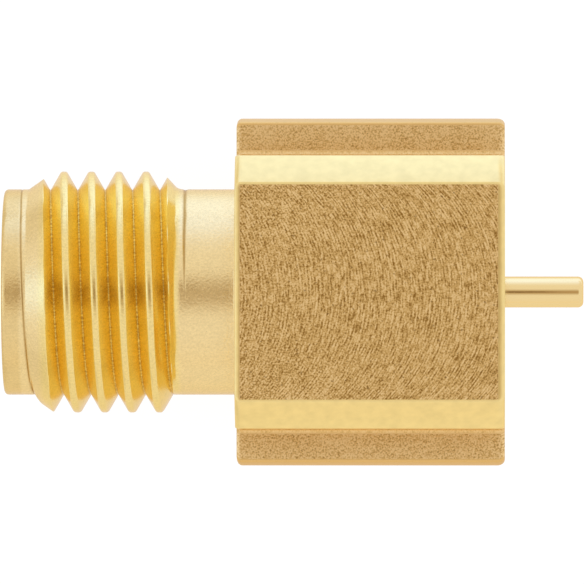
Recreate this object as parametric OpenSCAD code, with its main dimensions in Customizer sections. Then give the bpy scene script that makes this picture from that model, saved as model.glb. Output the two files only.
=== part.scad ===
// Coaxial board-edge jack with a threaded coupling end.
//
// Three pieces: a body turned and milled from one bar, an insulator pressed into it from the
// back, and a centre contact with a slotted socket at one end and a solder pin at the other.
//
// The connector's axis is X. The origin is on the axis at the reference plane, where the
// insulator of this jack meets the insulator of the plug. -X is the mating end, +X the solder
// pin and +Z away from the board. Millimetres.

/* [Neck and thread] */
// Length of the round neck, from the block to the mating end
neck_len = 6; // [5.6:0.1:9]
// Thickness of the neck's wall round the mating bore
neck_wall = 0.35; // [0.3:0.01:0.45]
// Height of the thread above the neck
thread_h = 0.46; // [0.38:0.01:0.5]
// Rounding of the thread's crest, where the height leaves room for it
crest_round = 0.1; // [0.04:0.01:0.12]
// Turns of thread in one inch
threads_per_inch = 36; // [34:1:40]
// Plain neck ahead of the thread
thread_start = 0.62; // [0.4:0.01:0.9]
// Length of the thread over its two tapered ends
thread_len = 3.95; // [3.2:0.05:4.4]
// Slope of the thread's end nearest the mating face, from the axis
lead_angle = 35; // [28:1:45]
// Slope of the thread's end nearest the block, from the axis
run_out_angle = 39; // [28:1:45]
// Distance from the mating face to the first crest, measured on the +Y side
first_crest = 0.81; // [0.5:0.01:1.2]

/* [Block] */
// Length of the block along the axis
block_len = 6.9; // [6:0.1:10]
// Diameter of the turned bar that the block is milled from
bar_d = 8.95; // [8.6:0.05:9.6]
// Width and height of the milled square
square = 7; // [6.4:0.1:7.6]
// Height of each side wing's top above the axis
wing_top = 1; // [0.6:0.1:2]
// Turned rounding at both ends of the bar
bar_edge_r = 0.14; // [0.05:0.01:0.3]

/* [Mating end] */
// Diameter of the bore that receives the plug's outer contact
mating_bore_d = 4.6; // [4.5:0.01:4.7]
// Depth of that bore, from the mating face to the reference plane
mating_bore_depth = 1.95; // [1.88:0.01:2]
// Chamfer at the mouth of that bore
mouth_chamfer = 0.08; // [0.02:0.01:0.12]
// Rounding of the neck's outer edge at the mating face
neck_edge_r = 0.12; // [0.05:0.01:0.14]

/* [Insulator] */
// Diameter of the insulator along the neck and the block
insulator_d = 4.12; // [3.9:0.01:4.3]
// Diameter of its head at the back of the block
head_d = 4.9; // [4.6:0.1:5.6]
// Length of that head
head_len = 1.2; // [0.6:0.1:2.5]
// Set-back of the insulator and the contact behind the reference plane
face_recess = 0.05; // [0:0.01:0.2]

/* [Centre contact] */
// Diameter of the contact inside the insulator
contact_d = 1.27; // [1.2:0.01:1.4]
// Diameter of the socket bore
socket_d = 0.93; // [0.9:0.01:0.95]
// Depth of the socket bore
socket_depth = 3; // [2.4:0.1:4]
// Number of slots that make the socket springy
slot_count = 4; // [2:1:4]
// Width of each slot
slot_w = 0.16; // [0.1:0.01:0.17]
// Length of each slot
slot_len = 2.2; // [1.2:0.1:2.4]
// Room round the slotted part, in which its fingers spread
finger_gap = 0.03; // [0.02:0.01:0.06]
// Number of barbed rings that hold the contact in the insulator
barb_count = 3; // [1:1:4]
// Height of a barb above the contact, held by the insulator
barb_h = 0.1; // [0.05:0.01:0.2]
// Length of a barb, and the distance between barbs
barb_len = 0.5; // [0.3:0.05:0.7]
// Diameter of the solder pin
pin_d = 0.8; // [0.7:0.05:1]
// Length of the solder pin outside the block
pin_len = 2.05; // [1.5:0.05:4]
// Rounding of the pin's end
pin_edge_r = 0.1; // [0.03:0.01:0.15]

/* [Hidden] */

$fn = 96;
eps = 0.01;          // reach of a cut past the face that it opens
arc_steps = 5;       // straight pieces in a small rounded edge
turn_steps = 36;     // straight pieces in one turn of the thread

// Places along the axis
mating_face_x = -mating_bore_depth;
block_front_x = mating_face_x + neck_len;
block_back_x = block_front_x + block_len;
head_x = block_back_x - head_len;
pin_tip_x = block_back_x + pin_len;

// Thread, as a ridge with a rounded crest and 60 degree flanks, wound on the neck
pitch = 25.4 / threads_per_inch;
neck_r = mating_bore_d / 2 + neck_wall;
crest_r = neck_r + thread_h;
root_w = 0.04;                             // least width of neck between two turns
cap_r = min(crest_round, (pitch - root_w) / 2 * tan(60) - thread_h);
cap_half = cap_r * sin(60);                // where the rounding meets the flank
foot_r = neck_r - root_w / 2;              // the ridge's foot lies inside the neck
foot_half = cap_half + (crest_r - cap_r / 2 - foot_r) * tan(30);
thread_start_x = mating_face_x + thread_start;
thread_end_x = thread_start_x + thread_len;
first_crest_x = mating_face_x + first_crest;
ridge_face_x = mating_face_x + neck_edge_r;  // nothing of the ridge is ahead of this
ridge_from_x = max(thread_start_x - foot_half, ridge_face_x + foot_half / 4);

// Block
wing_bottom = -pin_d / 2;                  // level with the pin's underside, so both meet the board

// Contact
contact_front_x = face_recess;
barb_start_x = contact_front_x + socket_depth + barb_len;
socket_chamfer = (contact_d - socket_d) / 6;

// Lays something drawn along Z on the connector's axis: Z goes to X, X to Y and Y to Z
module along_axis(x = 0) translate([x, 0, 0]) rotate([90, 0, 90]) children();

// Solid of revolution about the axis, from a list of [x, r] points
module turned(profile) along_axis() rotate_extrude() polygon([for (p = profile) [p[1], p[0]]]);

// Points of a quarter round of radius r about [x, y], from angle a to angle b
function arc(x, y, r, a, b) =
    [for (i = [0:arc_steps]) let (t = a + (b - a) * i / arc_steps) [x + r * cos(t), y + r * sin(t)]];

// Radius of the blank that the thread was cut in, at x: a cylinder with both ends tapered
function blank_r(x) = min(
    crest_r,
    neck_r + (x - thread_start_x) * tan(lead_angle),
    neck_r + (thread_end_x - x) * tan(run_out_angle)
);

// Radius of the full ridge at a distance d from its middle
function ridge_r(d) = d < cap_half
    ? crest_r - cap_r + sqrt(cap_r * cap_r - d * d)
    : foot_r + (foot_half - d) * tan(60);

// Distances from the middle of the ridge at which its outline has a point
flank_mid = (foot_half + cap_half) / 2;
cap_offsets = [for (t = [-60:30:60]) cap_r * sin(t)];
ridge_offsets = concat([-flank_mid], cap_offsets, [flank_mid]);

// Outline of the ridge, as [x, r], where its middle is at x. Near the mating face its left half
// is narrowed inside the neck.
function ridge_outline(x) =
    let (left = min(1, (x - ridge_face_x) / foot_half))
    concat(
        [[x - foot_half * left, foot_r]],
        [
            for (d = ridge_offsets)
                let (at = x + (d < 0 ? d * left : d))
                    [at, max(foot_r + eps, min(ridge_r(abs(d)), blank_r(at)))]
        ],
        [[x + foot_half, foot_r]]
    );

// Right-handed helical ridge. It begins and ends inside the neck, where the blank is thinner.
module thread_ridge() {
    from = (ridge_from_x - first_crest_x) / pitch;
    turns = (thread_end_x + foot_half - ridge_from_x) / pitch;
    rings = ceil(turns * turn_steps);
    side = len(ridge_offsets) + 2;
    points = [
        for (i = [0:rings])
            let (turn = from + turns * i / rings, angle = 360 * turn)
                for (p = ridge_outline(first_crest_x + pitch * turn))
                    [p[0], p[1] * cos(angle), p[1] * sin(angle)]
    ];
    skin = [
        for (i = [0:rings - 1], j = [0:side - 1])
            let (a = i * side + j, b = i * side + (j + 1) % side)
                each [[a, b, a + side], [b, b + side, a + side]]
    ];
    first_cap = [for (j = [1:side - 2]) [0, j + 1, j]];
    last = rings * side;
    last_cap = [for (j = [1:side - 2]) [last, last + j, last + j + 1]];
    polyhedron(points = points, faces = concat(first_cap, skin, last_cap), convexity = 8);
}

// Round neck, from its rounded edge at the mating face into the block
module neck() {
    turned(concat(
        [[mating_face_x, 0]],
        arc(mating_face_x + neck_edge_r, neck_r - neck_edge_r, neck_edge_r, 180, 90),
        [[block_front_x + eps, neck_r], [block_front_x + eps, 0]]
    ));
}

module threaded_neck() {
    neck();
    thread_ridge();
}

// Length of bar that the block is milled from, with its turned ends rounded
module bar() {
    r = bar_d / 2;
    turned(concat(
        [[block_front_x, 0]],
        arc(block_front_x + bar_edge_r, r - bar_edge_r, bar_edge_r, 180, 90),
        arc(block_back_x - bar_edge_r, r - bar_edge_r, bar_edge_r, 90, 0),
        [[block_back_x, 0]]
    ));
}

// What the milling leaves of the bar: a square across the axis and a wing on each side
module milled_section() {
    square([square, square], center = true);
    translate([-bar_d, wing_bottom]) square([2 * bar_d, wing_top - wing_bottom]);
}

module block() {
    intersection() {
        bar();
        along_axis(block_front_x - eps) linear_extrude(block_len + 2 * eps) milled_section();
    }
}

// Everything bored out of the body, as one stepped hole along the axis
module body_bore() {
    turned([
        [mating_face_x - eps, 0],
        [mating_face_x - eps, mating_bore_d / 2 + mouth_chamfer + eps],
        [mating_face_x + mouth_chamfer, mating_bore_d / 2],
        [0, mating_bore_d / 2],
        [0, insulator_d / 2],
        [head_x, insulator_d / 2],
        [head_x, head_d / 2],
        [block_back_x + eps, head_d / 2],
        [block_back_x + eps, 0]
    ]);
}

module body() {
    color("#d9ab5c")
    difference() {
        union() {
            threaded_neck();
            block();
        }
        body_bore();
    }
}

// Outline of the barbs, as [x, r]: each rises towards the pin and drops square
function barbs() = [
    for (i = [0:barb_count - 1])
        let (x = barb_start_x + 2 * i * barb_len)
            each [[x, contact_d / 2], [x + barb_len, contact_d / 2 + barb_h], [x + barb_len, contact_d / 2]]
];

// Outside of the contact, as [x, r], from its front face to the pin's tip
function contact_outline() = concat(
    [[contact_front_x, 0], [contact_front_x, contact_d / 2]],
    barbs(),
    [[block_back_x, contact_d / 2], [block_back_x, pin_d / 2]],
    arc(pin_tip_x - pin_edge_r, pin_d / 2 - pin_edge_r, pin_edge_r, 90, 0),
    [[pin_tip_x, 0]]
);

module insulator() {
    color("#f4f3ef")
    difference() {
        turned([
            [face_recess, 0],
            [face_recess, insulator_d / 2],
            [head_x, insulator_d / 2],
            [head_x, head_d / 2],
            [block_back_x, head_d / 2],
            [block_back_x, 0]
        ]);
        turned(contact_outline());
        along_axis(contact_front_x - eps) cylinder(d = contact_d + 2 * finger_gap, h = slot_len + eps);
    }
}

// The hole that receives the plug's pin, with a chamfered mouth
module socket_bore() {
    turned([
        [contact_front_x - eps, 0],
        [contact_front_x - eps, socket_d / 2 + socket_chamfer + eps],
        [contact_front_x + socket_chamfer, socket_d / 2],
        [contact_front_x + socket_depth, socket_d / 2],
        [contact_front_x + socket_depth, 0]
    ]);
}

// Slots cut through the socket's wall from its front face
module socket_slots() {
    for (i = [0:slot_count - 1])
        along_axis(contact_front_x - eps)
            rotate(360 * i / slot_count + 45)
                translate([0, -slot_w / 2, 0]) cube([contact_d, slot_w, slot_len + eps]);
}

module centre_contact() {
    color("#e6bd66")
    difference() {
        turned(contact_outline());
        socket_bore();
        socket_slots();
    }
}

body();
insulator();
centre_contact();
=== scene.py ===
import math

import bmesh
import bpy
import numpy as np
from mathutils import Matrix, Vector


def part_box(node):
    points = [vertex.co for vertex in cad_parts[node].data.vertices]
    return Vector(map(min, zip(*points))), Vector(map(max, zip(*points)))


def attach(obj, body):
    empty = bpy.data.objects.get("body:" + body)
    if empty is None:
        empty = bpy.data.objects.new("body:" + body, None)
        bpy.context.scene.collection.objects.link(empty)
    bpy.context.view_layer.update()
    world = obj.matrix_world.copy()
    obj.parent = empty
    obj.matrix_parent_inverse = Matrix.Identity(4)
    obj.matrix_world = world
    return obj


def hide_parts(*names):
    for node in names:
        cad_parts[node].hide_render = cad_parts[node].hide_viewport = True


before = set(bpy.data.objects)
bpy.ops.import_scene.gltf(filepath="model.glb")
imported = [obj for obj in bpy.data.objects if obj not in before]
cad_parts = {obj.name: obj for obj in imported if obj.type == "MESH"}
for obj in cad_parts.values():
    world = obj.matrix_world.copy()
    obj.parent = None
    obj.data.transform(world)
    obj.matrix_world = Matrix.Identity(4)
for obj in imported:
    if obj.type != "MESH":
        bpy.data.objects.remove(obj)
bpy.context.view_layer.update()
print("frame loaded:", ", ".join(sorted(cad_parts)))

# Sizes below are in millimetres, and makePiece turns them into metres.
mm = 0.001
mergeDistance = 1e-5        # points closer than this are one
bodyLow, bodyHigh = (np.array(corner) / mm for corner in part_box("body"))
insulatorLow, insulatorHigh = (np.array(corner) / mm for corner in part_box("insulator"))
contactHigh = np.array(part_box("centre_contact")[1]) / mm

matingFaceX = bodyLow[0]
blockBackX = bodyHigh[0]
barRadius = bodyHigh[1]
halfSquare = bodyHigh[2]
insulatorFaceX = insulatorLow[0]
headRadius = insulatorHigh[1]
pinTipX = contactHigh[0]


def arc(centreX, centreY, radius, fromAngle, toAngle, count=8):
    # points of a round: centre + radius (cos a, sin a), a in degrees from one angle to the other
    angle = np.radians(np.linspace(fromAngle, toAngle, count))
    return np.stack([centreX + radius * np.cos(angle), centreY + radius * np.sin(angle)], -1)


def gridFaces(rows, columns, closeRows=False, closeColumns=False):
    # four-cornered faces of a grid whose point (r, c) has the number r * columns + c
    r = np.arange(rows if closeRows else rows - 1)[:, None]
    c = np.arange(columns if closeColumns else columns - 1)[None, :]
    here, below = r * columns, (r + 1) % rows * columns
    cNext = (c + 1) % columns
    corners = np.broadcast_arrays(here + c, here + cNext, below + cNext, below + c)
    return np.stack(corners, -1).reshape(-1, 4)


def revolve(profile, count):
    # surface of revolution about X: point (i, j) = (x_i, r_i cos a_j, r_i sin a_j), a_j = 2 pi j / count
    angle = np.arange(count) * 2 * np.pi / count
    x, r = profile[:, :1], profile[:, 1:]
    return np.stack([x + 0 * angle, r * np.cos(angle), r * np.sin(angle)], -1)


def joinSheets(sheets):
    # one list of points and one of faces out of several (points, faces)
    points, faces, start = [], [], 0
    for sheetPoints, sheetFaces in sheets:
        points.append(sheetPoints.reshape(-1, 3))
        faces.append(sheetFaces + start)
        start += len(points[-1])
    return np.concatenate(points), np.concatenate(faces)


def makePiece(name, points, faces, finishes, faceFinish=None, marks=None, sharpAngle=38):
    # a closed mesh, its coinciding points merged, faces outward, edges sharper than sharpAngle kept crisp
    mesh = bpy.data.meshes.new(name)
    mesh.from_pydata((points * mm).tolist(), [], faces.tolist())
    for finish in finishes:
        mesh.materials.append(finish)
    if faceFinish is not None:
        mesh.polygons.foreach_set("material_index", faceFinish.astype(np.int32))
    for markName, values in (marks or {}).items():
        isVector = values.ndim == 2
        mark = mesh.attributes.new(markName, "FLOAT_VECTOR" if isVector else "FLOAT", "POINT")
        mark.data.foreach_set("vector" if isVector else "value", values.astype(np.float32).ravel())
    work = bmesh.new()
    work.from_mesh(mesh)
    bmesh.ops.remove_doubles(work, verts=work.verts, dist=mergeDistance * mm)
    bmesh.ops.recalc_face_normals(work, faces=work.faces)
    work.to_mesh(mesh)
    work.free()
    mesh.shade_smooth()
    mesh.set_sharp_from_angle(angle=math.radians(sharpAngle))
    piece = bpy.data.objects.new(name, mesh)
    bpy.context.scene.collection.objects.link(piece)
    print("made", name, len(mesh.polygons), "faces")
    return piece


def toLinear(hexColour):
    # sRGB hex to linear: c / 12.92 below 0.04045, else ((c + 0.055) / 1.055) ^ 2.4
    c = np.array([int(hexColour[i:i + 2], 16) for i in (1, 3, 5)]) / 255
    return (*np.where(c <= 0.04045, c / 12.92, ((c + 0.055) / 1.055) ** 2.4), 1.0)


def addNode(tree, kind, settings, inputs):
    # a node with its settings; an input is a value, or the node or output that feeds it
    node = tree.nodes.new("ShaderNode" + kind)
    for name, value in settings.items():
        if name == "stops":
            for element, (position, colour) in zip(node.color_ramp.elements, value):
                element.position, element.color = position, colour
            for position, colour in value[2:]:
                node.color_ramp.elements.new(position).color = colour
        else:
            setattr(node, name, value)
    for socket, value in inputs.items():
        if isinstance(value, bpy.types.Node):
            value = next(output for output in value.outputs if output.enabled)
        if isinstance(value, bpy.types.NodeSocket):
            tree.links.new(value, node.inputs[socket])
        else:
            node.inputs[socket].default_value = value
    return node


def startMaterial(name):
    material = bpy.data.materials.new(name)
    material.use_nodes = True
    material.node_tree.nodes.clear()
    return material, material.node_tree


cameraValues = {
    "target": (5.46, 0.0, 0.0),
    "distance": 289.0,
    "fieldWidth": 15.07,    # width of the view at the target
    "lean": 1.0,            # degrees from straight above, towards the pin
    "clip": (10.0, 10000.0),    # nearest and furthest that it sees
}


def makeCamera(v):
    lean = math.radians(v["lean"])
    data = bpy.data.cameras.new("camera")
    data.lens = data.sensor_width * v["distance"] / v["fieldWidth"]
    data.clip_start, data.clip_end = np.array(v["clip"]) * mm
    camera = bpy.data.objects.new("camera", data)
    toward = np.array([math.sin(lean), 0.0, math.cos(lean)])
    camera.location = (np.array(v["target"]) + toward * v["distance"]) * mm
    camera.rotation_euler = (0.0, lean, 0.0)
    bpy.context.scene.collection.objects.link(camera)
    bpy.context.scene.camera = camera


makeCamera(cameraValues)
bpy.context.scene.view_settings.view_transform = "Standard"
print("camera placed")


grazingGold = "#fff3d2"     # gold keeps some of its yellow even at grazing angles


def span(side, ends):
    # two inputs of a Map Range, with side From or To
    return {side + " Min": ends[0], side + " Max": ends[1]}


noiseSpan = span("From", (0.3, 0.7))    # nearly all of a noise lies between these


def finishGold(tree, colour, roughness, height, depth):
    # What all golds here share: bare metal, with a fine relief whose depth is in mm.
    bump = addNode(tree, "Bump", {}, {"Height": height, "Distance": depth * mm})
    shader = addNode(tree, "BsdfPrincipled", {}, {
        "Base Color": colour, "Metallic": 1.0, "Roughness": roughness,
        "Specular Tint": toLinear(grazingGold), "Normal": bump})
    addNode(tree, "OutputMaterial", {}, {"Surface": shader})


turnedValues = {
    "colour": "#f8dd93",
    "threadBounceColour": "#fae088",  # painted bounce light: a deeper gold on the thread, for light bounced between the turns
    "rootShadeColour": "#a67610",    # painted shade and inter-reflection along the bottom of the thread
    "rimColour": "#efd184",     # a deeper gold on the first relief, by the mating end
    "rimLength": 0.45,          # mm
    "rimFade": 0.05,            # mm, over which that shade ends, to either side
    "reliefRoughness": 0.25,
    "threadRoughness": 0.21,
    "roughSpread": 0.03,        # what the clouds add or take away
    "speckle": 0.06,            # mm, matt grain left by the plating bath, drawn coarse so that it shows
    "speckleDepth": 0.007,      # mm
    "speckleTone": (0.91, 1.06),
    "speckleInThread": 0.2,     # share of its depth that is left between the turns
    "rootShadeDot": 0.05,           # mm
    "rootShadeSpan": (0.4, 0.62),   # the noise between and on the dots of the painted root shade
    "rootShadeShare": (0.1, 0.55),  # how much of the root's colour shows there
    "lineShare": 0.75,          # and on the lines of the tool's first touch and run-out
    "cloud": 0.35,              # mm
    "cloudTone": (0.97, 1.02),
}


def makeTurnedGold(v):
    # Gold plate on turned brass: satin and pale. Its fine matt grain shows only in dark reflections.
    material, tree = startMaterial("gold_plate_on_turned_brass")
    place = addNode(tree, "TexCoord", {}, {}).outputs["Object"]
    grain = addNode(tree, "TexNoise", {}, {
        "Vector": place, "Scale": 1 / (v["speckle"] * mm), "Detail": 3.0})
    cloud = addNode(tree, "TexNoise", {}, {
        "Vector": place, "Scale": 1 / (v["cloud"] * mm), "Detail": 3.0})
    inThread = addNode(tree, "Attribute", {"attribute_name": "inThread"}, {}).outputs["Fac"]
    rootLine = addNode(tree, "Attribute", {"attribute_name": "rootLine"}, {}).outputs["Fac"]
    cloudTone = addNode(tree, "MapRange", {}, {
        "Value": cloud, **noiseSpan, **span("To", v["cloudTone"])})
    along = addNode(tree, "SeparateXYZ", {}, {"Vector": place}).outputs["X"]
    rimEnd = matingFaceX + v["rimLength"]
    onRim = addNode(tree, "MapRange", {}, {
        "Value": along,
        "From Min": (rimEnd + v["rimFade"]) * mm, "From Max": (rimEnd - v["rimFade"]) * mm})
    reliefGold = addNode(tree, "Mix", {"data_type": "RGBA"}, {
        "Factor": onRim, 6: toLinear(v["colour"]), 7: toLinear(v["rimColour"])})
    # The thread's deeper gold is painted bounce light between its turns.
    gold = addNode(tree, "Mix", {"data_type": "RGBA"}, {
        "Factor": inThread, 6: reliefGold, 7: toLinear(v["threadBounceColour"])})
    grainTone = addNode(tree, "MapRange", {}, {
        "Value": grain, **noiseSpan, **span("To", v["speckleTone"])})
    tone = addNode(tree, "Math", {"operation": "MULTIPLY"}, {0: cloudTone, 1: grainTone})
    plate = addNode(tree, "Mix", {"data_type": "RGBA", "blend_type": "MULTIPLY"}, {
        "Factor": 1.0, 6: gold, 7: tone})
    # Painted shade and inter-reflection in the thread's roots, broken into dots, and the darker tool
    # lines, all in one colour.
    dots = addNode(tree, "TexNoise", {}, {
        "Vector": place, "Scale": 1 / (v["rootShadeDot"] * mm), "Detail": 1.0})
    dotTone = addNode(tree, "MapRange", {}, {
        "Value": dots, **span("From", v["rootShadeSpan"]), **span("To", v["rootShadeShare"])})
    broken = addNode(tree, "Mix", {"data_type": "FLOAT"}, {
        "Factor": inThread, 2: v["lineShare"], 3: dotTone})
    darkening = addNode(tree, "Math", {"operation": "MULTIPLY"}, {0: rootLine, 1: broken})
    colour = addNode(tree, "Mix", {"data_type": "RGBA"}, {
        "Factor": darkening, 6: plate, 7: toLinear(v["rootShadeColour"])})
    roughCloud = addNode(tree, "MapRange", {}, {
        "Value": cloud, **noiseSpan, "To Min": -v["roughSpread"], "To Max": v["roughSpread"]})
    roughBase = addNode(tree, "MapRange", {}, {
        "Value": inThread, "To Min": v["reliefRoughness"], "To Max": v["threadRoughness"]})
    rough = addNode(tree, "Math", {"operation": "ADD"}, {0: roughBase, 1: roughCloud})
    grainShare = addNode(tree, "MapRange", {}, {
        "Value": inThread, "To Min": 1.0, "To Max": v["speckleInThread"]})
    grainHeight = addNode(tree, "Math", {"operation": "MULTIPLY"}, {0: grain, 1: grainShare})
    finishGold(tree, colour, rough, grainHeight, v["speckleDepth"])
    return material


bandValues = {
    "colour": "#fce18b",
    "roughness": 0.28,
    "mottle": 0.25,     # mm, size of the faint clouds in the plating
    "mottleTone": (0.93, 1.03),
    "mottleDepth": 0.004,   # mm
}


def makeBandGold(v):
    # Gold plate on the bar's own turned skin and its broken edges: even and satin, faintly clouded.
    material, tree = startMaterial("gold_plate_on_bar_skin")
    place = addNode(tree, "TexCoord", {}, {}).outputs["Object"]
    cloud = addNode(tree, "TexNoise", {}, {
        "Vector": place, "Scale": 1 / (v["mottle"] * mm), "Detail": 4.0})
    tone = addNode(tree, "MapRange", {}, {"Value": cloud, **noiseSpan, **span("To", v["mottleTone"])})
    colour = addNode(tree, "Mix", {"data_type": "RGBA", "blend_type": "MULTIPLY"}, {
        "Factor": 1.0, 6: toLinear(v["colour"]), 7: tone})
    finishGold(tree, colour, v["roughness"], cloud, v["mottleDepth"])
    return material


milledValues = {
    "dark": "#a07632",
    "middle": "#e2bb6d",
    "light": "#fddc95",
    # painted shade: the tan that the tilted land shows, laid on the milled field's rounded corners
    "cornerShadeColour": "#eccb88",
    "wingEdge": "#eabf6c",
    "pit": "#7f5c2a",
    "toneStops": (0.38, 0.50, 0.60),    # height of the marks at which those three colours lie: painted shade in their low parts, lighter tops
    "roughness": 0.40,
    "cutterRadius": 3.9,    # mm, radius of the end mill that swept the flats
    "feed": 0.083,          # mm between one tooth mark and the next
    "marksPerFeed": 1.6,    # noise cells to a step of the feed
    "dash": 0.42,           # mm, length of the unbroken part of a mark
    "feedLine": 0.028,      # how much the even feed lines add to the broken marks
    "plainSpan": (3.2, 6.2),        # mm, X less the distance from a flat's middle line
    "grainShare": (0.66, 0.48),     # how much the grain covers the arcs at those two
    "speckle": 0.045,       # mm, grain of the milled skin, drawn coarse so that it shows
    "cloud": 0.6,           # mm
    "cloudShare": 0.11,
    "depth": 0.009,         # mm
    "wingLevel": 0.64,      # the wings carry less of that painted shade: their marks are drawn towards this height
    "wingShare": 0.34,      # by this much
    "pitSpacing": 0.1,      # mm
    "pitSpan": (0.66, 0.74),    # the noise at the rim and the bottom of a pit
    "pitShare": 0.6,        # how much of the pit's colour shows at its bottom
    "pitOnWing": 0.2,       # and what is left of that on the wings
    "cornerRound": 0.13,    # mm, rounding of the milled field's corners
    "cornerEdge": 0.9,      # share of that radius from which the field fades into its edge
}


def makeMilledGold(v):
    # Gold plate on end-milled brass: rougher, and browner through painted shade in its rough marks, the
    # cutter's arcs broken into short dashes.
    material, tree = startMaterial("gold_plate_on_milled_brass")
    flatPlace = addNode(tree, "Attribute", {"attribute_name": "flatPlace"}, {}).outputs["Vector"]
    flatEdge = addNode(tree, "Attribute", {"attribute_name": "flatEdge"}, {}).outputs["Vector"]
    split = addNode(tree, "SeparateXYZ", {}, {"Vector": flatPlace})
    # The cutter's arc through a spot: x - sqrt(R^2 - y^2) is the same all along it.
    squared = addNode(tree, "Math", {"operation": "MULTIPLY"}, {
        0: split.outputs["Y"], 1: split.outputs["Y"]})
    rest = addNode(tree, "Math", {"operation": "SUBTRACT"}, {0: v["cutterRadius"] ** 2, 1: squared})
    reach = addNode(tree, "Math", {"operation": "SQRT"}, {0: rest})
    sweep = addNode(tree, "Math", {"operation": "SUBTRACT"}, {0: split.outputs["X"], 1: reach})
    across = addNode(tree, "Math", {"operation": "DIVIDE"}, {0: sweep, 1: v["feed"]})
    along = addNode(tree, "Math", {"operation": "DIVIDE"}, {0: split.outputs["Y"], 1: v["dash"]})
    markPlace = addNode(tree, "CombineXYZ", {}, {"X": across, "Y": along})
    marks = addNode(tree, "TexNoise", {}, {
        "Vector": markPlace, "Scale": v["marksPerFeed"], "Detail": 1.5})
    grain = addNode(tree, "TexNoise", {}, {"Vector": flatPlace, "Scale": 1 / v["speckle"], "Detail": 2.0})
    cloud = addNode(tree, "TexNoise", {}, {"Vector": flatPlace, "Scale": 1 / v["cloud"], "Detail": 2.0})
    wing = addNode(tree, "SeparateXYZ", {}, {"Vector": flatEdge}).outputs["Z"]
    fromMiddle = addNode(tree, "Math", {"operation": "ABSOLUTE"}, {0: split.outputs["Y"]})
    plain = addNode(tree, "Math", {"operation": "SUBTRACT"}, {0: split.outputs["X"], 1: fromMiddle})
    grainWeight = addNode(tree, "MapRange", {}, {
        "Value": plain, **span("From", v["plainSpan"]), **span("To", v["grainShare"])})
    onWing = addNode(tree, "Math", {"operation": "MAXIMUM", "use_clamp": True}, {
        0: grainWeight, 1: wing})
    markGrain = addNode(tree, "Mix", {"data_type": "FLOAT"}, {"Factor": onWing, 2: marks, 3: grain})
    height = addNode(tree, "Mix", {"data_type": "FLOAT"}, {
        "Factor": v["cloudShare"], 2: markGrain, 3: cloud})
    # Even lines under the broken marks, one for each step of the feed; the wings have none.
    feedAngle = addNode(tree, "Math", {"operation": "MULTIPLY"}, {0: across, 1: 2 * math.pi})
    feedWave = addNode(tree, "Math", {"operation": "SINE"}, {0: feedAngle})
    offWing = addNode(tree, "Math", {"operation": "SUBTRACT", "use_clamp": True}, {0: 1.0, 1: wing})
    feedShare = addNode(tree, "Math", {"operation": "MULTIPLY"}, {0: offWing, 1: v["feedLine"]})
    feedHeight = addNode(tree, "Math", {"operation": "MULTIPLY"}, {0: feedWave, 1: feedShare})
    scored = addNode(tree, "Math", {"operation": "ADD"}, {0: height, 1: feedHeight})
    evenWing = addNode(tree, "MapRange", {}, {"Value": wing, "To Max": v["wingShare"]})
    lift = addNode(tree, "Mix", {"data_type": "FLOAT"}, {
        "Factor": evenWing, 2: scored, 3: v["wingLevel"]})
    # Painted shade: the marks are coloured dark where they are low and light where they are high.
    tones = [toLinear(v[name]) for name in ("dark", "middle", "light")]
    markShadeTone = addNode(tree, "ValToRGB", {"stops": list(zip(v["toneStops"], tones))}, {"Fac": lift})
    pits = addNode(tree, "TexNoise", {}, {
        "Vector": flatPlace, "Scale": 1 / v["pitSpacing"], "Detail": 1.0})
    deepPit = addNode(tree, "MapRange", {}, {
        "Value": pits, **span("From", v["pitSpan"]), "To Max": v["pitShare"]})
    pitLeft = addNode(tree, "MapRange", {}, {"Value": wing, "To Min": 1.0, "To Max": v["pitOnWing"]})
    pit = addNode(tree, "Math", {"operation": "MULTIPLY"}, {0: deepPit, 1: pitLeft})
    # Above 1, the wing mark gives the share of the wings' edge colour.
    edged = addNode(tree, "Math", {"operation": "SUBTRACT", "use_clamp": True}, {0: wing, 1: 1.0})
    faceTone = addNode(tree, "Mix", {"data_type": "RGBA"}, {
        "Factor": edged, 6: markShadeTone, 7: toLinear(v["wingEdge"])})
    pitted = addNode(tree, "Mix", {"data_type": "RGBA"}, {
        "Factor": pit, 6: faceTone, 7: toLinear(v["pit"])})
    # The field ends in rounded corners: how far a spot near both sides lies from the corner's centre.
    corner = addNode(tree, "VectorMath", {"operation": "SUBTRACT"}, {
        0: (v["cornerRound"], v["cornerRound"], 0.0), 1: flatEdge})
    inCorner = addNode(tree, "VectorMath", {"operation": "MAXIMUM"}, {0: corner, 1: (0.0, 0.0, 0.0)})
    fromCentre = addNode(tree, "VectorMath", {"operation": "LENGTH"}, {0: inCorner})
    outside = addNode(tree, "MapRange", {}, {
        "Value": fromCentre,
        "From Min": v["cornerRound"] * v["cornerEdge"], "From Max": v["cornerRound"]})
    # The corners are painted in the land's tan: painted shade of a rounded edge that the flat lacks.
    colour = addNode(tree, "Mix", {"data_type": "RGBA"}, {
        "Factor": outside, 6: pitted, 7: toLinear(v["cornerShadeColour"])})
    finishGold(tree, colour, v["roughness"], lift, v["depth"])
    return material


pinValues = {
    "colour": "#f8dc90",
    "roughness": (0.06, 0.13),
    "grain": 0.12,      # mm
    "stretch": 0.2,     # the grain is drawn out along X: its scale there, against that across
    "depth": 0.001,     # mm
}


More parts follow.
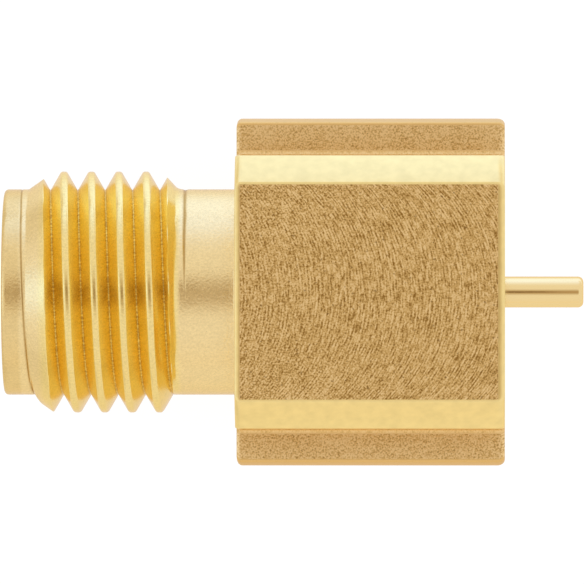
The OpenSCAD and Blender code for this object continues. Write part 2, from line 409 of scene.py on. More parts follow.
def makePinGold(v):
    # Gold plate on drawn beryllium copper: the brightest of the finishes, drawn lines hardly seen.
    material, tree = startMaterial("gold_plate_on_beryllium_copper")
    place = addNode(tree, "TexCoord", {}, {}).outputs["Object"]
    stretched = addNode(tree, "Mapping", {}, {"Vector": place, "Scale": (v["stretch"], 1.0, 1.0)})
    grain = addNode(tree, "TexNoise", {}, {
        "Vector": stretched, "Scale": 1 / (v["grain"] * mm), "Detail": 3.0})
    rough = addNode(tree, "MapRange", {}, {"Value": grain, **noiseSpan, **span("To", v["roughness"])})
    finishGold(tree, toLinear(v["colour"]), rough, grain, v["depth"])
    return material


ptfeValues = {
    "colour": "#f4f3ee",
    "roughness": 0.45,
    "ior": 1.38,
    "cloud": 0.5,       # mm
    "cloudTone": (0.96, 1.0),
    "toolLine": 0.06,   # mm between turning lines
    "lineDepth": 0.002,     # mm
    "lineStrength": 0.35,
    "inside": 0.25,     # share of the light that goes into it
    "insideReach": 0.4,     # mm
    "insideColour": (1.0, 0.9, 0.8),    # how far each colour goes, as a share of that
}


def makePtfe(v):
    # Turned PTFE: white and waxy, light goes a little way into it, with soft turning lines.
    material, tree = startMaterial("turned_ptfe")
    place = addNode(tree, "TexCoord", {}, {}).outputs["Object"]
    cloud = addNode(tree, "TexNoise", {}, {
        "Vector": place, "Scale": 1 / (v["cloud"] * mm), "Detail": 3.0})
    tone = addNode(tree, "MapRange", {}, {"Value": cloud, **noiseSpan, **span("To", v["cloudTone"])})
    colour = addNode(tree, "Mix", {"data_type": "RGBA", "blend_type": "MULTIPLY"}, {
        "Factor": 1.0, 6: toLinear(v["colour"]), 7: tone})
    split = addNode(tree, "SeparateXYZ", {}, {"Vector": place})
    flat = addNode(tree, "CombineXYZ", {}, {"Y": split.outputs["Y"], "Z": split.outputs["Z"]})
    fromAxis = addNode(tree, "VectorMath", {"operation": "LENGTH"}, {0: flat})
    turns = addNode(tree, "Math", {"operation": "MULTIPLY"}, {
        0: fromAxis, 1: 2 * math.pi / (v["toolLine"] * mm)})
    lines = addNode(tree, "Math", {"operation": "SINE"}, {0: turns})
    bump = addNode(tree, "Bump", {}, {
        "Height": lines, "Strength": v["lineStrength"], "Distance": v["lineDepth"] * mm})
    shader = addNode(tree, "BsdfPrincipled", {}, {
        "Base Color": colour, "Roughness": v["roughness"], "IOR": v["ior"],
        "Subsurface Weight": v["inside"], "Subsurface Radius": v["insideColour"],
        "Subsurface Scale": v["insideReach"] * mm, "Normal": bump})
    addNode(tree, "OutputMaterial", {}, {"Surface": shader})
    return material


turnedGold = makeTurnedGold(turnedValues)
bandGold = makeBandGold(bandValues)
milledGold = makeMilledGold(milledValues)
pinGold = makePinGold(pinValues)
ptfe = makePtfe(ptfeValues)
print("materials made")


neckValues = {
    "length": 6.0,
    "radius": 2.65,
    "crestRadius": 3.11,
    "rootRadius": 2.638,        # a hair below the neck, so that the tool grazed it
    "turnsPerInch": 36,
    "flankAngle": 60,           # degrees from the axis
    "crestFlat": 0.027,         # half of the flat top of a turn
    "crestShoulder": 0.08,      # rounding from there into the flank
    "firstCrest": 0.822,        # from the mating face, on the +Y side
    "threadStart": 0.62,        # where the blank starts to climb from the neck
    "leadAngle": 35,            # and how steeply
    "coneAngle": 47,            # back of the thread
    "footEnd": 4.615,           # where the hollow behind the cone reaches the neck
    "footRadius": 0.332,
    "footAngle": 34,            # slope at which the hollow meets the cone
    "edgeRound": 0.006,         # where the form cuts the blank
    "smoothUpTo": 0.39,         # nothing of the thread is ahead of this
    "grazeLine": 0.457,         # where the tool first touches the neck, on the +Y side
    "grazeDrift": 0.34,         # how far that line has moved along X on the -Y side
    "grazePower": 1.9,          # it moves with this power of the turn
    "grazeWidth": (0.019, 0.040),       # of that line, on the +Y side and on the -Y side
    "grazeDepth": (0.012, 0.014),
    "grazeDarkness": (1.30, 0.55),         # how dark the line is drawn
    "grazeTurns": (-0.1, -0.02, 0.48, 0.56),    # turns where it starts, is full, fades and has ended
    "ridgeTurns": (0.55, 0.75),         # the ridge ahead of the line comes back between these turns
    "ridgeEdge": 0.01,                  # it is cut away over this much to either side of the line
    "drawLength": 0.25,                 # the form is back on its own helix this far behind the first root
    "threadFrom": (0.64, 0.74),         # the full form starts between these
    "threadTo": (4.46, 4.56),           # and ends between these
    "formRaise": 0.2,                   # ahead and behind, it is raised by this, clear of the blank
    "lastRoot": 3.997,                  # the last full groove, on the +Y side
    "lastRidge": (0.40, 0.49),          # turns between which the thin ridge behind it is broken away
    "rootShadeWidth": 0.024,                # of the painted shade in the roots
    "rootShadePeak": 1.3,
    "rootShadeTo": (4.40, 4.50),
    "groovesFrom": (0.87, 1.12),        # the thread's painted bounce gold, and its roughness and grain, come in between these
    "groovesTo": (4.45, 4.615),         # and ends between these
    "runOutLine": 4.662,        # line left where the tool was drawn back, on the +Y side
    "runOutDrift": (0.62, 0.15),        # how far it moves along X in a turn, before +Y and after
    "runOutWidth": (0.045, 0.022),      # before it narrows and after
    "runOutNarrows": 0.25,              # turns over which it does
    "runOutDepth": 0.02,
    "runOutDarkness": 1.2,
    "runOutTurns": (-0.3, -0.2, 0.19, 0.28),    # as for the first touch
    "runOutRoom": 0.14,                 # the grid goes on this far behind that line
    "rimRound": 0.105,
    "mouthChamfer": 0.08,
    "boreRadius": 2.3,
    "insulatorRadius": 2.06,
    "backFillet": 0.055,        # hollow corner against the block
    "overlap": 0.05,            # how far the neck runs into the block
    "samplesAround": 240,
}

inch = 25.4
pitch = inch / neckValues["turnsPerInch"]


def blend(a, b, width):
    # smaller of two lengths, rounded where they cross: (a + b - sqrt((a - b)^2 + width^2)) / 2
    return (a + b - np.sqrt((a - b) ** 2 + width ** 2)) / 2


def smooth(value, start, end):
    # 0 before start, 1 after end, and 3 t^2 - 2 t^3 between them
    t = np.clip((value - start) / (end - start), 0, 1)
    return t * t * (3 - 2 * t)


def rampUpDown(value, start, full, fade, end):
    # 0 before start, 1 from full to fade, and 0 again after end
    return smooth(value, start, full) * (1 - smooth(value, fade, end))


def flankSlope(v):
    # tangent and sine of the flank's angle
    angle = math.radians(v["flankAngle"])
    return math.tan(angle), math.sin(angle)


def rootRound(v):
    # The root's radius is what the depth leaves it: (pitch / 2 - flat) slope - shoulder - depth.
    depth = v["crestRadius"] - v["rootRadius"]
    return (pitch / 2 - v["crestFlat"]) * flankSlope(v)[0] - v["crestShoulder"] - depth


def threadForm(v, x, turn):
    # Radius of the thread at x (from the mating face) and turn (angle / 2 pi): half of a flat crest, a
    # round shoulder, a straight flank and a small round root. Also gives the distance to the root.
    fromCrest = x - v["firstCrest"] - pitch * turn
    away = np.abs(fromCrest - pitch * np.round(fromCrest / pitch))
    toRoot = pitch / 2 - away
    steep, lean = flankSlope(v)
    shoulder = v["crestShoulder"]
    root = rootRound(v)
    past = np.maximum(away - v["crestFlat"], 0)
    crest = v["crestRadius"] - shoulder + np.sqrt(np.maximum(shoulder ** 2 - past ** 2, 0))
    flank = v["crestRadius"] - shoulder / 2 - (past - shoulder * lean) * steep
    bottom = v["rootRadius"] + root - np.sqrt(np.maximum(root ** 2 - toRoot ** 2, 0))
    radius = np.where(past < shoulder * lean, crest, np.where(toRoot < root * lean, bottom, flank))
    return radius, toRoot


def neckSurface(v, x, turn):
    # The blank climbs from the neck, and behind the thread a cone comes down into a hollow foot, both as
    # heights above the neck. The tool takes away what stands above the thread form. It comes in slowly,
    # so the line of its first touch drifts with a power of the turn, and widens; on the +Z side nothing
    # is left standing ahead of that line. Late is the turn from +Y, between -0.2 and 0.8.
    neck, foot = v["radius"], v["footRadius"]
    late = np.where(turn < 0.8, turn, turn - 1)
    drift = np.clip(2 * late, 0, None) ** v["grazePower"]
    line = v["grazeLine"] + v["grazeDrift"] * drift
    firstRoot = v["firstCrest"] + pitch * (late - 0.5)
    start = np.minimum(line, firstRoot)
    ahead = 1 - smooth(x, start - v["ridgeEdge"], start + v["ridgeEdge"])
    cleared = ahead * (1 - smooth(late, *v["ridgeTurns"]))
    lead = (x - v["threadStart"]) * math.tan(math.radians(v["leadAngle"])) * (1 - cleared)
    footLength = foot * math.sin(math.radians(v["footAngle"]))
    inFoot = np.clip(v["footEnd"] - x, 0, footLength)
    onCone = np.maximum(v["footEnd"] - footLength - x, 0)
    cone = foot - np.sqrt(foot ** 2 - inFoot ** 2) + onCone * math.tan(math.radians(v["coneAngle"]))
    ridgeLeft = 1 - smooth(turn, *v["lastRidge"])
    cone = np.where(x > v["lastRoot"] + pitch * turn, cone * ridgeLeft, cone)
    blank = neck + np.maximum(0, np.minimum(lead, cone))

    # The first root lies on that line: the form is drawn forward to it and back to its own helix behind.
    drawn = (firstRoot - start) * (1 - smooth(x, firstRoot, firstRoot + v["drawLength"]))
    form, toRoot = threadForm(v, x + drawn, turn)
    started, ended = smooth(x, *v["threadFrom"]), smooth(x, *v["threadTo"])
    radius = blend(blank, form + v["formRaise"] * (ended + 1 - started), v["edgeRound"])

    # The line of the first touch, whose size goes from its first value at +Y to its second at -Y.
    sizes = (v["grazeWidth"], v["grazeDepth"], v["grazeDarkness"])
    width, depth, tone = (near + (far - near) * drift for near, far in sizes)
    graze = np.exp(-((x - line) / width) ** 2) * rampUpDown(late, *v["grazeTurns"])
    radius = radius - depth * graze

    # Run-out: the tool leaves the work slowly too, so this line moves little along X, and it narrows.
    # Here the turn from +Y lies between -0.5 and 0.5.
    fromY = np.where(turn < 0.5, turn, turn - 1)
    wide, narrow = v["runOutWidth"]
    outLine = v["runOutLine"] + np.where(fromY > 0, v["runOutDrift"][1], v["runOutDrift"][0]) * fromY
    outWidth = wide - (wide - narrow) * np.clip(fromY / v["runOutNarrows"], 0, 1)
    runOut = np.exp(-((x - outLine) / outWidth) ** 2) * rampUpDown(fromY, *v["runOutTurns"])
    radius = radius - v["runOutDepth"] * runOut

    # Painted shade in the roots, and the darker lines of the tool.
    inRoot = np.clip(v["rootShadePeak"] * np.exp(-(toRoot / v["rootShadeWidth"]) ** 2), 0, 1)
    darkening = inRoot * started * (1 - smooth(x, *v["rootShadeTo"]))
    toolLines = np.clip(np.maximum(tone * graze, v["runOutDarkness"] * runOut), 0, 1)
    return radius, np.maximum(darkening, toolLines), rampUpDown(x, *v["groovesFrom"], *v["groovesTo"])


def makeThreadedNeck(v):
    count = v["samplesAround"]
    turn = np.arange(count) / count
    startX, endX = v["smoothUpTo"], v["runOutLine"] + v["runOutRoom"]

    # Half a turn of the thread, from crest to root, closest where it bends.
    lean = flankSlope(v)[1]
    shoulderEnd = v["crestFlat"] + v["crestShoulder"] * lean
    rootStart = pitch / 2 - rootRound(v) * lean
    half = np.concatenate([
        [0, v["crestFlat"] / 2],
        v["crestFlat"] + v["crestShoulder"] * np.sin(np.radians(np.linspace(0, v["flankAngle"], 6))),
        np.linspace(shoulderEnd, rootStart, 14)[1:],
        [(pitch / 2 + rootStart) / 2, pitch / 2],
    ])
    oneTurn = np.concatenate([half, pitch - half[-2:0:-1]])
    perPitch = len(oneTurn)

    # Columns lean with the helix, x = place in the turn + pitch (whole turns + turn), cut off at both
    # ends, so that after one turn column j meets column j + perPitch.
    firstTurn = math.floor((startX - v["firstCrest"]) / pitch) - 1
    lastTurn = math.ceil((endX - v["firstCrest"]) / pitch) + 1
    places = (oneTurn + pitch * np.arange(firstTurn, lastTurn)[:, None]).ravel() + v["firstCrest"]
    columns = len(places)
    x = np.clip(places + pitch * turn[:, None], startX, endX)
    radius, rootLine, inThread = neckSurface(v, x, turn[:, None] + 0 * x)
    angle = 2 * np.pi * turn[:, None]
    thread = np.stack([x + matingFaceX, radius * np.cos(angle), radius * np.sin(angle)], -1)
    k = np.arange(columns - perPitch - 1)
    last = (count - 1) * columns
    seam = np.stack([last + k, last + k + 1, k + 1 + perPitch, k + perPitch], -1)

    # Everything turned: from the thread's front round the rim, down the bore and back to its end. The
    # rings that stand close to another keep the shading even beside a bend.
    neck, fillet = v["radius"], v["backFillet"]
    lengthIn = v["length"] + v["overlap"]
    profile = np.concatenate([
        [[startX, neck], [startX - 0.02, neck], [v["rimRound"] + 0.03, neck]],
        arc(v["rimRound"], neck - v["rimRound"], v["rimRound"], 90, 180, 9),
        [[0.0, v["boreRadius"] + v["mouthChamfer"]], [v["mouthChamfer"], v["boreRadius"]]],
        [[-matingFaceX, v["boreRadius"]], [-matingFaceX, v["insulatorRadius"]]],
        [[lengthIn, v["insulatorRadius"]], [lengthIn, neck + fillet]],
        arc(v["length"] - fillet, neck + fillet, fillet, 0, -90, 8),
        [[v["length"] - 0.2, neck], [endX + 0.1, neck], [endX, neck]],
    ])
    ringX, ringR = profile[:, :1] + 0 * turn, profile[:, 1:] + 0 * turn
    edgeR = neckSurface(v, ringX, turn + 0 * ringX)[0]
    atEdge = (np.abs(ringX - startX) < 1e-9) | (np.abs(ringX - endX) < 1e-9)
    ringR = np.where(atEdge, edgeR, ringR)
    ringAngle = 2 * np.pi * turn
    rings = np.stack([ringX + matingFaceX, ringR * np.cos(ringAngle), ringR * np.sin(ringAngle)], -1)

    points, faces = joinSheets([
        (thread, np.concatenate([gridFaces(count, columns), seam])),
        (rings, gridFaces(len(profile), count, closeColumns=True)),
    ])
    noMark = np.zeros(rings.shape[0] * rings.shape[1])
    return makePiece("threaded_neck", points, faces, [turnedGold], marks={
        "rootLine": np.concatenate([rootLine.ravel(), noMark]),
        "inThread": np.concatenate([inThread.ravel(), noMark]),
    })


threadedNeck = makeThreadedNeck(neckValues)


blockValues = {
    "wingTop": 1.0,
    "wingBottom": -0.4,
    "shoulderWidth": 0.055,     # narrow land between each main flat and the bar's round
    "shoulderTilt": 11,         # degrees
    "shoulderRound": 0.035,
    "wingRound": 0.07,          # broken edges along the wings
    "innerRound": 0.15,         # corner left by the cutter beside each wing
    "flatDrop": 0.045,          # how far the ends draw in on the flats
    "barDrop": 0.15,            # and on the bar's round and the wings' walls
    "frontLength": 0.13,        # length of that draw-in
    "backLength": 0.17,
    "backBarLength": 0.19,      # at the back, on the bar's round and the wings' walls
    "headLength": 1.2,          # seat of the insulator's head
    "holeRadius": 2.06,
    "landOnBar": 0.4,           # how much a land's outer edge follows the bar where it draws in
    "pointsPerArc": {"round": 6, "inner": 9, "bar": 28, "wingRound": 9, "wall": 12},
    # For the finish: 1 on a wing's top and underside, and above that a share of the edge colour.
    "wingMark": {"wing": 1.0, "inner": 1.55, "wingRound": 1.9, "wall": 1.9},
}

finishEdge, finishMilled = 0, 1
farAway = 9.0       # mm, further from a side than any pattern looks


def sectionOutline(v, drop):
    # Half of the block's section, from the middle of its top clockwise to the middle of its underside,
    # drawn in by drop (0 to 1) times flatDrop and barDrop. A rounding of radius e that leads from a line
    # at height h into the bar of radius B has its centre e inside both: at height h - e (less the
    # shoulder's own fall) and at a distance B - e from the axis. Each row holds y, z, the place across
    # the flat, the distance to its nearest side, the finish, the wing mark, how much it belongs to the
    # bar, and the sign its place takes on the other half: -1 where the face is level.
    barR = barRadius - v["barDrop"] * drop
    flatDrop = v["flatDrop"] * drop
    high, top, low = halfSquare - flatDrop, v["wingTop"] - flatDrop, v["wingBottom"] + flatDrop
    tilt, fillet, wide = math.radians(v["shoulderTilt"]), v["shoulderRound"], v["shoulderWidth"]
    centreZ = high - wide * math.sin(tilt) - fillet * math.cos(tilt)
    centreY = math.sqrt((barR - fillet) ** 2 - centreZ ** 2)
    flatEnd = centreY - wide * math.cos(tilt) + fillet * math.sin(tilt)
    landEnd = flatEnd + wide * math.cos(tilt)
    landHigh = high - wide * math.sin(tilt)
    barFrom = math.degrees(math.atan2(centreZ, centreY))
    e, inner = v["wingRound"], v["innerRound"]
    wingY = math.sqrt((barR - e) ** 2 - (top - e) ** 2)
    wingAngle = math.degrees(math.atan2(top - e, wingY))
    lowY = math.sqrt((barR - e) ** 2 - (low + e) ** 2)
    lowAngle = math.degrees(math.atan2(low + e, lowY))
    tiltDegrees = v["shoulderTilt"]
    steps = [
        ("flat", (0, high), (flatEnd, high), (-flatEnd, flatEnd)),
        ("land", (flatEnd, high), (landEnd, landHigh), (0, 1)),
        ("round", (centreY, centreZ), fillet, 90 - tiltDegrees, barFrom),
        ("bar", (0, 0), barR, barFrom, 90 - barFrom),
        ("round", (centreZ, centreY), fillet, 90 - barFrom, tiltDegrees),
        ("land", (landHigh, landEnd), (high, flatEnd), (1, 0)),
        ("flat", (high, flatEnd), (high, top + inner), (top + inner, flatEnd)),
        ("inner", (high + inner, top + inner), inner, 180, 270),
        ("wing", (high + inner, top), (wingY, top), (0, 0)),
        ("wingRound", (wingY, top - e), e, 90, wingAngle),
        ("wall", (0, 0), barR, wingAngle, lowAngle),
        ("wingRound", (lowY, low + e), e, lowAngle, -90),
        ("wing", (lowY, low), (high + inner, low), (0, 0)),
        ("inner", (high + inner, low - inner), inner, 90, 180),
        ("flat", (high, low - inner), (high, -flatEnd), (-flatEnd, low - inner)),
        ("land", (high, -flatEnd), (landHigh, -landEnd), (0, 1)),
        ("round", (centreZ, -centreY), fillet, -tiltDegrees, barFrom - 90),
        ("bar", (0, 0), barR, barFrom - 90, -barFrom),
        ("round", (centreY, -centreZ), fillet, -barFrom, tiltDegrees - 90),
        ("land", (landEnd, -landHigh), (flatEnd, -high), (1, 0)),
        ("flat", (flatEnd, -high), (0, -high), (-flatEnd, flatEnd)),
    ]
    rows = []
    for kind, start, end, *more in steps:
        if kind in ("flat", "land", "wing"):
            share = np.array([0, 0.5, 1] if kind == "land" else [0, 0.02, 0.25, 0.5, 0.75, 0.98, 1])
            spots = np.array(start) + (np.array(end) - np.array(start)) * share[:, None]
            isLevel = abs(end[0] - start[0]) > abs(end[1] - start[1])
            across = spots[:, 0] if isLevel else spots[:, 1]
            nearest, onBar = farAway + 0 * across, 0 * across
            if kind == "flat":
                nearest = np.minimum(across - more[0][0], more[0][1] - across)
            if kind == "land":
                onBar = v["landOnBar"] * (more[0][0] + (more[0][1] - more[0][0]) * share)
        else:
            fromAngle, toAngle = more
            count = v["pointsPerArc"][kind]
            spots = arc(*start, end, fromAngle, toAngle, count)
            isLevel, across = False, spots[:, 1]
            nearest = np.full(count, farAway)
            onBar = np.full(count, 0.0 if kind == "inner" else 1.0)
            if kind == "wingRound":
                onBar = np.linspace(0, 1, count) if fromAngle == 90 else np.linspace(1, 0, count)
        milled = finishEdge if kind in ("land", "round", "bar") else finishMilled
        fixed = np.array([milled, v["wingMark"].get(kind, 0.0)]) + np.zeros((len(spots), 2))
        otherHalf = np.full(len(spots), -1.0 if isLevel else 1.0)
        rows.append(np.column_stack([spots, across, nearest, fixed, onBar, otherHalf]))
    half = np.concatenate([row[:-1] for row in rows] + [rows[-1][-1:]])
    mirrored = half[-2:0:-1] * np.array([-1, 1, 1, 1, 1, 1, 1, 1])
    mirrored[:, 2] *= mirrored[:, 7]
    return half, np.concatenate([half, mirrored])


def makeMilledBlock(v):
    frontX, endX = matingFaceX + neckValues["length"], blockBackX
    half, outline = sectionOutline(v, 0)
    drawnIn = sectionOutline(v, 1)[1][:, :2]
    finishRight = half[:-1, 4]
    stripFinish = np.concatenate([finishRight, finishRight[::-1]])
    spots, onBar = outline[:, :2], outline[:, 6]

    # Outside: quarter ellipses at both ends. At angle a the section is drawn in by 1 - sin a, and x is
    # the length times 1 - cos a from the end.
    a = np.radians(np.linspace(0, 90, 8))[:-1]
    frontLength = v["frontLength"] + 0 * onBar
    backLength = v["backLength"] + (v["backBarLength"] - v["backLength"]) * onBar
    runShare = np.concatenate([[0, 0.01], np.linspace(0.1, 0.9, 7), [0.99, 1]])[:, None]
    runX = frontX + frontLength + (endX - backLength - frontX - frontLength) * runShare
    stationX = np.concatenate([
        frontX + frontLength * (1 - np.cos(a))[:, None], runX,
        endX - backLength * (1 - np.cos(a[::-1]))[:, None]])
    inset = np.concatenate([1 - np.sin(a), 0 * runShare[:, 0], 1 - np.sin(a[::-1])])[:, None, None]
    outside = spots[None] + (drawnIn - spots)[None] * inset
    outside = np.concatenate([stationX[..., None], outside], -1)

    polar = spots / np.linalg.norm(spots, axis=1, keepdims=True)

    def faceRings(x, ring, radius):
        # flat end face: from the hole's circle out to the outline, at equal polar angles
        share = np.array([0, 0.35, 0.7, 0.97])[:, None, None]
        flat = polar * radius + (ring - polar * radius) * share
        return np.concatenate([np.full(flat.shape[:2] + (1,), x), flat], -1)

    def holeRing(x, radius):
        return np.column_stack([np.full(len(polar), x), polar * radius])[None]

    front = faceRings(frontX, outside[0, :, 1:], v["holeRadius"])
    back = faceRings(endX, outside[-1, :, 1:], headRadius)[::-1]
    headX = endX - v["headLength"]
    grid = np.concatenate([
        front, outside, back, holeRing(headX, headRadius), holeRing(headX, v["holeRadius"])])
    rowsCount, columns = grid.shape[:2]
    faces = gridFaces(rowsCount, columns, closeRows=True, closeColumns=True)

    # Milled faces: the flats between the two draw-ins, and the wings all the way to both ends.
    row = np.arange(rowsCount)[:, None]
    onRun = (row >= len(front) + len(a)) & (row < len(front) + len(a) + len(runShare) - 1)
    onOutside = (row >= len(front)) & (row < len(front) + len(outside) - 1)
    wingStrip = np.concatenate([half[:-1, 5], half[:-1, 5][::-1]])[None] > 0.5
    isMilled = (stripFinish[None] == finishMilled) & (onRun | (onOutside & wingStrip))
    x = grid[..., 0]
    fromFront, fromBack = x - frontX - v["frontLength"], endX - v["backLength"] - x
    nearestEnd = np.clip(np.minimum(fromFront, fromBack), 0, None) + farAway * (outline[:, 5] > 0)
    zero = 0 * x
    flatPlace = np.stack([x, zero + outline[:, 2], zero + spots[:, 1]], -1).reshape(-1, 3)
    flatEdge = np.stack([nearestEnd, zero + outline[:, 3], zero + outline[:, 5]], -1).reshape(-1, 3)
    return makePiece(
        "milled_block", grid.reshape(-1, 3), faces, [bandGold, milledGold], isMilled.astype(int).ravel(),
        {"flatPlace": flatPlace, "flatEdge": flatEdge}, sharpAngle=50)


milledBlock = makeMilledBlock(blockValues)


contactValues = {
    "radius": 0.635,
    "socketRadius": 0.465,
    "socketDepth": 3.0,
    "slots": 4,
    "firstSlot": 45,        # degrees from +Y
    "slotWidth": 0.16,
    "slotLength": 2.2,
    "fingerGap": 0.03,
    "mouth": ((0.0, 0.035), (0.012, 0.016), (0.04, 0.0)),   # depth, and how much wider the socket is
    "mouthOutside": 0.6,    # the fingers are slimmer outside by this share of that
    "barbs": 3,
    "barbHeight": 0.1,
    "barbLength": 0.5,
    "pinRadius": 0.4,
    "pinEdge": 0.14,
    "pinShort": 0.022,      # the tip stays this much inside the full length
    "samplesAround": 96,
    "samplesPerFinger": 20,
}


def barbProfile(v):
    # saw teeth: each rises over its length and drops square
    start = insulatorFaceX + v["socketDepth"] + v["barbLength"]
    x = start + 2 * v["barbLength"] * np.arange(v["barbs"])[:, None]
    outer, height, step = v["radius"], v["barbHeight"], v["barbLength"]
    return np.stack([x + [0, step, step], outer + 0 * x + [0, height, 0]], -1).reshape(-1, 2)


insulatorValues = {
    "edgeRound": 0.04,
    "samplesAround": 160,
}


def makeInsulator(v, contact):
    # One profile turned about X: its bore follows the contact, with room for the fingers in front.
    contactR, gap, e = contact["radius"], contact["fingerGap"], v["edgeRound"]
    outer, headX = neckValues["insulatorRadius"], blockBackX - blockValues["headLength"]
    fingerEnd = insulatorFaceX + contact["slotLength"]
    profile = np.concatenate([
        [[insulatorFaceX, contactR + gap]],
        arc(insulatorFaceX + e, outer - e, e, 180, 90, 5),
        [[headX, outer], [headX, headRadius]],
        arc(blockBackX - e, headRadius - e, e, 90, 0, 5),
        [[blockBackX, contactR]],
        barbProfile(contact)[::-1],
        [[fingerEnd, contactR], [fingerEnd, contactR + gap]],
    ])
    points = revolve(profile, v["samplesAround"])
    faces = gridFaces(len(profile), v["samplesAround"], closeRows=True, closeColumns=True)
    return makePiece("ptfe_insulator", points.reshape(-1, 3), faces, [ptfe])


def makeContact(v):
    # Back part: one profile turned about X, from the socket's floor to the pin's rounded tip.
    outer, hole = v["radius"], v["socketRadius"]
    faceX, fingerEnd = insulatorFaceX, insulatorFaceX + v["slotLength"]
    floorX = faceX + v["socketDepth"]
    tipX = pinTipX - v["pinShort"]
    profile = np.concatenate([
        [[floorX, 0.0], [floorX, hole], [fingerEnd, hole], [fingerEnd, outer]],
        barbProfile(v),
        [[blockBackX, outer], [blockBackX, v["pinRadius"]]],
        arc(tipX - v["pinEdge"], v["pinRadius"] - v["pinEdge"], v["pinEdge"], 90, 0, 10),
        [[tipX, 0.0]],
    ])
    around = v["samplesAround"]
    sheets = [(revolve(profile, around), gridFaces(len(profile), around, closeColumns=True))]

    # Fingers: a ring sector carried along X. Its sides stay half a slot away from the slot's middle, so
    # the sector at radius r reaches to asin(slot / 2 r) from it, and its mouth opens outward.
    share = np.linspace(0, 1, v["samplesPerFinger"])
    mouth = np.array(v["mouth"]) + [faceX, 0]
    for finger in range(v["slots"]):
        middle = 2 * np.pi * (finger + 0.5) / v["slots"] + np.radians(v["firstSlot"])
        rings = []
        for x, widen in [*mouth, (fingerEnd, 0.0)]:
            rIn, rOut = hole + widen, outer - widen * v["mouthOutside"]
            loop = []
            for r, direction in ((rOut, 1), (rIn, -1)):
                reach = np.pi / v["slots"] - math.asin(v["slotWidth"] / 2 / r)
                angle = middle + direction * reach * (2 * share - 1)
                loop.append(np.stack([x + 0 * angle, r * np.cos(angle), r * np.sin(angle)], -1))
            rings.append(np.concatenate(loop))
        rings = np.array(rings)
        count = rings.shape[1]
        i = np.arange(len(share) - 1)
        cap = np.stack([i, i + 1, count - 2 - i, count - 1 - i], -1)
        caps = [cap, cap + (len(rings) - 1) * count]
        sheets.append((rings, np.concatenate([gridFaces(len(rings), count, closeColumns=True), *caps])))
    points, faces = joinSheets(sheets)
    return makePiece("contact_with_pin", points, faces, [pinGold])


insulatorPiece = makeInsulator(insulatorValues, contactValues)
contactPiece = makeContact(contactValues)


for piece, slotName, node in (
    (threadedNeck, "gold_plated_body", "body"),
    (milledBlock, "gold_plated_body", "body"),
    (insulatorPiece, "white_ptfe", "insulator"),
    (contactPiece, "gold_plated_contact", "centre_contact"),
):
    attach(piece, "root")
    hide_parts(node)
print("pieces ride on root")


stageValues = {
    "floorColour": "#ffffff",
    "floorSize": 600.0,
    "floorWhite": 1.08,
    "floorGap": 0.01,                   # below the underside, so that the two don't coincide
    "shadowShare": 0.15,
    "plain": (0.97, 0.97, 0.97),        # what lights everything matt, from all round
    "tent": (0.90, 0.89, 1.10),         # what metal sees from all round
    "zenith": (0.50, 0.38, 0.31),       # dim opening above, where the lens looks in
    "zenithAngle": (4.0, 27.0),         # degrees, where the opening starts and stops fading
    "zenithTilt": -1.0,                 # degrees towards +Y
    "lens": (0.16, 0.10, 0.05),
    "lensAngle": (2.5, 5.5),
    "coolSide": (1.08, 1.33, 2.50),     # softbox low on the +Y side
    "warmSide": (0.93, 0.87, 0.95),     # bounce low on the -Y side
    "frontSide": (1.12, 1.45, 2.60),    # small softbox ahead of the mating end, 20 degrees up
    "frontAim": (-0.94, 0.0, 0.34),
    "sideAngle": 46,                    # degrees from that side to where it has faded out
    "frontAngle": 24,
    "sidePower": 1.5,                   # how fast it fades
    "paintedFloorPool": (1.05, 1.28, 2.38),    # painted pool of cool light on the floor, seen by metal on the +Y side
    "floorPlain": (0.84, 0.81, 0.97),   # elsewhere
    "paintedFloorShade": (0.72, 0.68, 0.78),   # painted shade on the floor ahead of the mating end
    "coolAcross": (2, 10),              # mm along Y, where the painted pool starts and is full
    "coolAhead": (-9, 2),               # the same along X
    "coolBehind": (34, 17),             # and coming back from behind the block
    "frontFrom": (-2, -9),              # mm along X, where the painted shade starts and is full
}


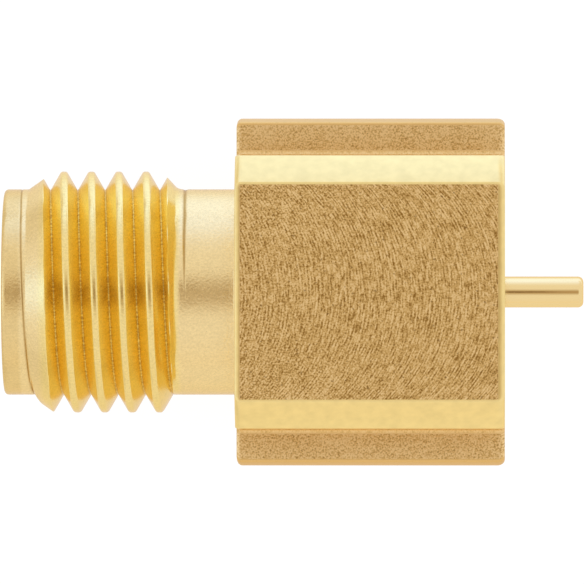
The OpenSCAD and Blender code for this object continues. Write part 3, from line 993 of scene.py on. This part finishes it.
def makeWhiteSweep(v):
    # Matt white paper: white where the eye meets it, and still darkened by the shadow. Metal also sees a
    # painted pool of cool light on its +Y side and painted shade ahead of the mating end.
    material, tree = startMaterial("white_paper_sweep")
    path = addNode(tree, "LightPath", {}, {})
    seen = addNode(tree, "Math", {"operation": "MAXIMUM"}, {
        0: path.outputs["Is Camera Ray"], 1: path.outputs["Is Glossy Ray"]})
    seenAny = addNode(tree, "Math", {"operation": "MAXIMUM"}, {
        0: seen, 1: path.outputs["Is Transmission Ray"]})
    share = addNode(tree, "Math", {"operation": "MULTIPLY"}, {0: seenAny, 1: 1 - v["shadowShare"]})
    place = addNode(tree, "TexCoord", {}, {}).outputs["Object"]
    split = addNode(tree, "SeparateXYZ", {}, {"Vector": place})
    parts = {}
    for name, axis, fade in (
        ("coolAcross", "Y", "SMOOTHSTEP"), ("coolAhead", "X", "LINEAR"),
        ("coolBehind", "X", "LINEAR"), ("frontFrom", "X", "LINEAR"),
    ):
        start, full = (distance * mm for distance in v[name])
        parts[name] = addNode(tree, "MapRange", {"interpolation_type": fade}, {
            "Value": split.outputs[axis], "From Min": start, "From Max": full})
    coolLength = addNode(tree, "Math", {"operation": "MULTIPLY"}, {
        0: parts["coolAhead"], 1: parts["coolBehind"]})
    coolPart = addNode(tree, "Math", {"operation": "MULTIPLY"}, {0: parts["coolAcross"], 1: coolLength})
    # What metal sees of the floor: a painted pool of cool light on the +Y side and painted shade ahead of
    # the mating end.
    plainLight = addNode(tree, "Mix", {"data_type": "RGBA"}, {
        "Factor": parts["frontFrom"], 6: (*v["floorPlain"], 1), 7: (*v["paintedFloorShade"], 1)})
    floorLight = addNode(tree, "Mix", {"data_type": "RGBA"}, {
        "Factor": coolPart, 6: plainLight, 7: (*v["paintedFloorPool"], 1)})
    white = toLinear(v["floorColour"])
    floorSeen = addNode(tree, "Mix", {"data_type": "RGBA"}, {
        "Factor": path.outputs["Is Camera Ray"], 6: floorLight, 7: white})
    sheet = addNode(tree, "BsdfDiffuse", {}, {"Color": white})
    glow = addNode(tree, "Emission", {}, {"Color": floorSeen, "Strength": v["floorWhite"]})
    mixed = addNode(tree, "MixShader", {}, {0: share, 1: sheet, 2: glow})
    addNode(tree, "OutputMaterial", {}, {"Surface": mixed})
    return material


def makeFloor(v):
    size, z = v["floorSize"] / 2, -halfSquare - v["floorGap"]
    corners = np.array([[-size, -size, z], [size, -size, z], [size, size, z], [-size, size, z]]) * mm
    mesh = bpy.data.meshes.new("floor")
    mesh.from_pydata(corners.tolist(), [], [[0, 1, 2, 3]])
    mesh.materials.append(makeWhiteSweep(v))
    floor = bpy.data.objects.new("floor", mesh)
    bpy.context.scene.collection.objects.link(floor)


def makeWorld(v):
    # Plain soft light from all round. Polished metal sees it as a tent, whose colour depends only on the
    # direction the light comes from.
    world = bpy.data.worlds.new("tent")
    bpy.context.scene.world = world
    world.use_nodes = True
    tree = world.node_tree
    tree.nodes.clear()
    direction = addNode(tree, "TexCoord", {}, {}).outputs["Generated"]
    colour = (*v["tent"], 1)
    for name, angles, tilt in (("zenith", "zenithAngle", v["zenithTilt"]), ("lens", "lensAngle", 0.0)):
        tilt = math.radians(tilt)
        start, stop = (math.radians(a) for a in v[angles])
        aim = addNode(tree, "VectorMath", {"operation": "DOT_PRODUCT"}, {
            0: direction, 1: (0.0, math.sin(tilt), math.cos(tilt))})
        fromAim = addNode(tree, "Math", {"operation": "ARCCOSINE"}, {0: aim})
        opening = addNode(tree, "MapRange", {"interpolation_type": "SMOOTHSTEP"}, {
            "Value": fromAim, "From Min": start, "From Max": stop, "To Min": 1.0, "To Max": 0.0})
        colour = addNode(tree, "Mix", {"data_type": "RGBA"}, {
            "Factor": opening, 6: colour, 7: (*v[name], 1)})
    for side, name, reach in (
        ((0, 1, 0), "coolSide", "sideAngle"),
        ((0, -1, 0), "warmSide", "sideAngle"),
        (v["frontAim"], "frontSide", "frontAngle"),
    ):
        aim = addNode(tree, "VectorMath", {"operation": "DOT_PRODUCT"}, {0: direction, 1: side})
        fromAim = addNode(tree, "Math", {"operation": "ARCCOSINE"}, {0: aim})
        toward = addNode(tree, "MapRange", {}, {
            "Value": fromAim, "From Min": math.radians(v[reach]), "From Max": 0.0})
        rise = addNode(tree, "Math", {"operation": "POWER"}, {0: toward, 1: v["sidePower"]})
        colour = addNode(tree, "Mix", {"data_type": "RGBA"}, {
            "Factor": rise, 6: colour, 7: (*v[name], 1)})
    path = addNode(tree, "LightPath", {}, {})
    lit = addNode(tree, "Mix", {"data_type": "RGBA"}, {
        "Factor": path.outputs["Is Glossy Ray"], 6: (*v["plain"], 1), 7: colour})
    backdrop = addNode(tree, "Mix", {"data_type": "RGBA"}, {
        "Factor": path.outputs["Is Camera Ray"], 6: lit, 7: (1.0, 1.0, 1.0, 1)})
    light = addNode(tree, "Background", {}, {"Color": backdrop})
    addNode(tree, "OutputWorld", {}, {"Surface": light})


makeFloor(stageValues)
makeWorld(stageValues)
print("floor and light made")
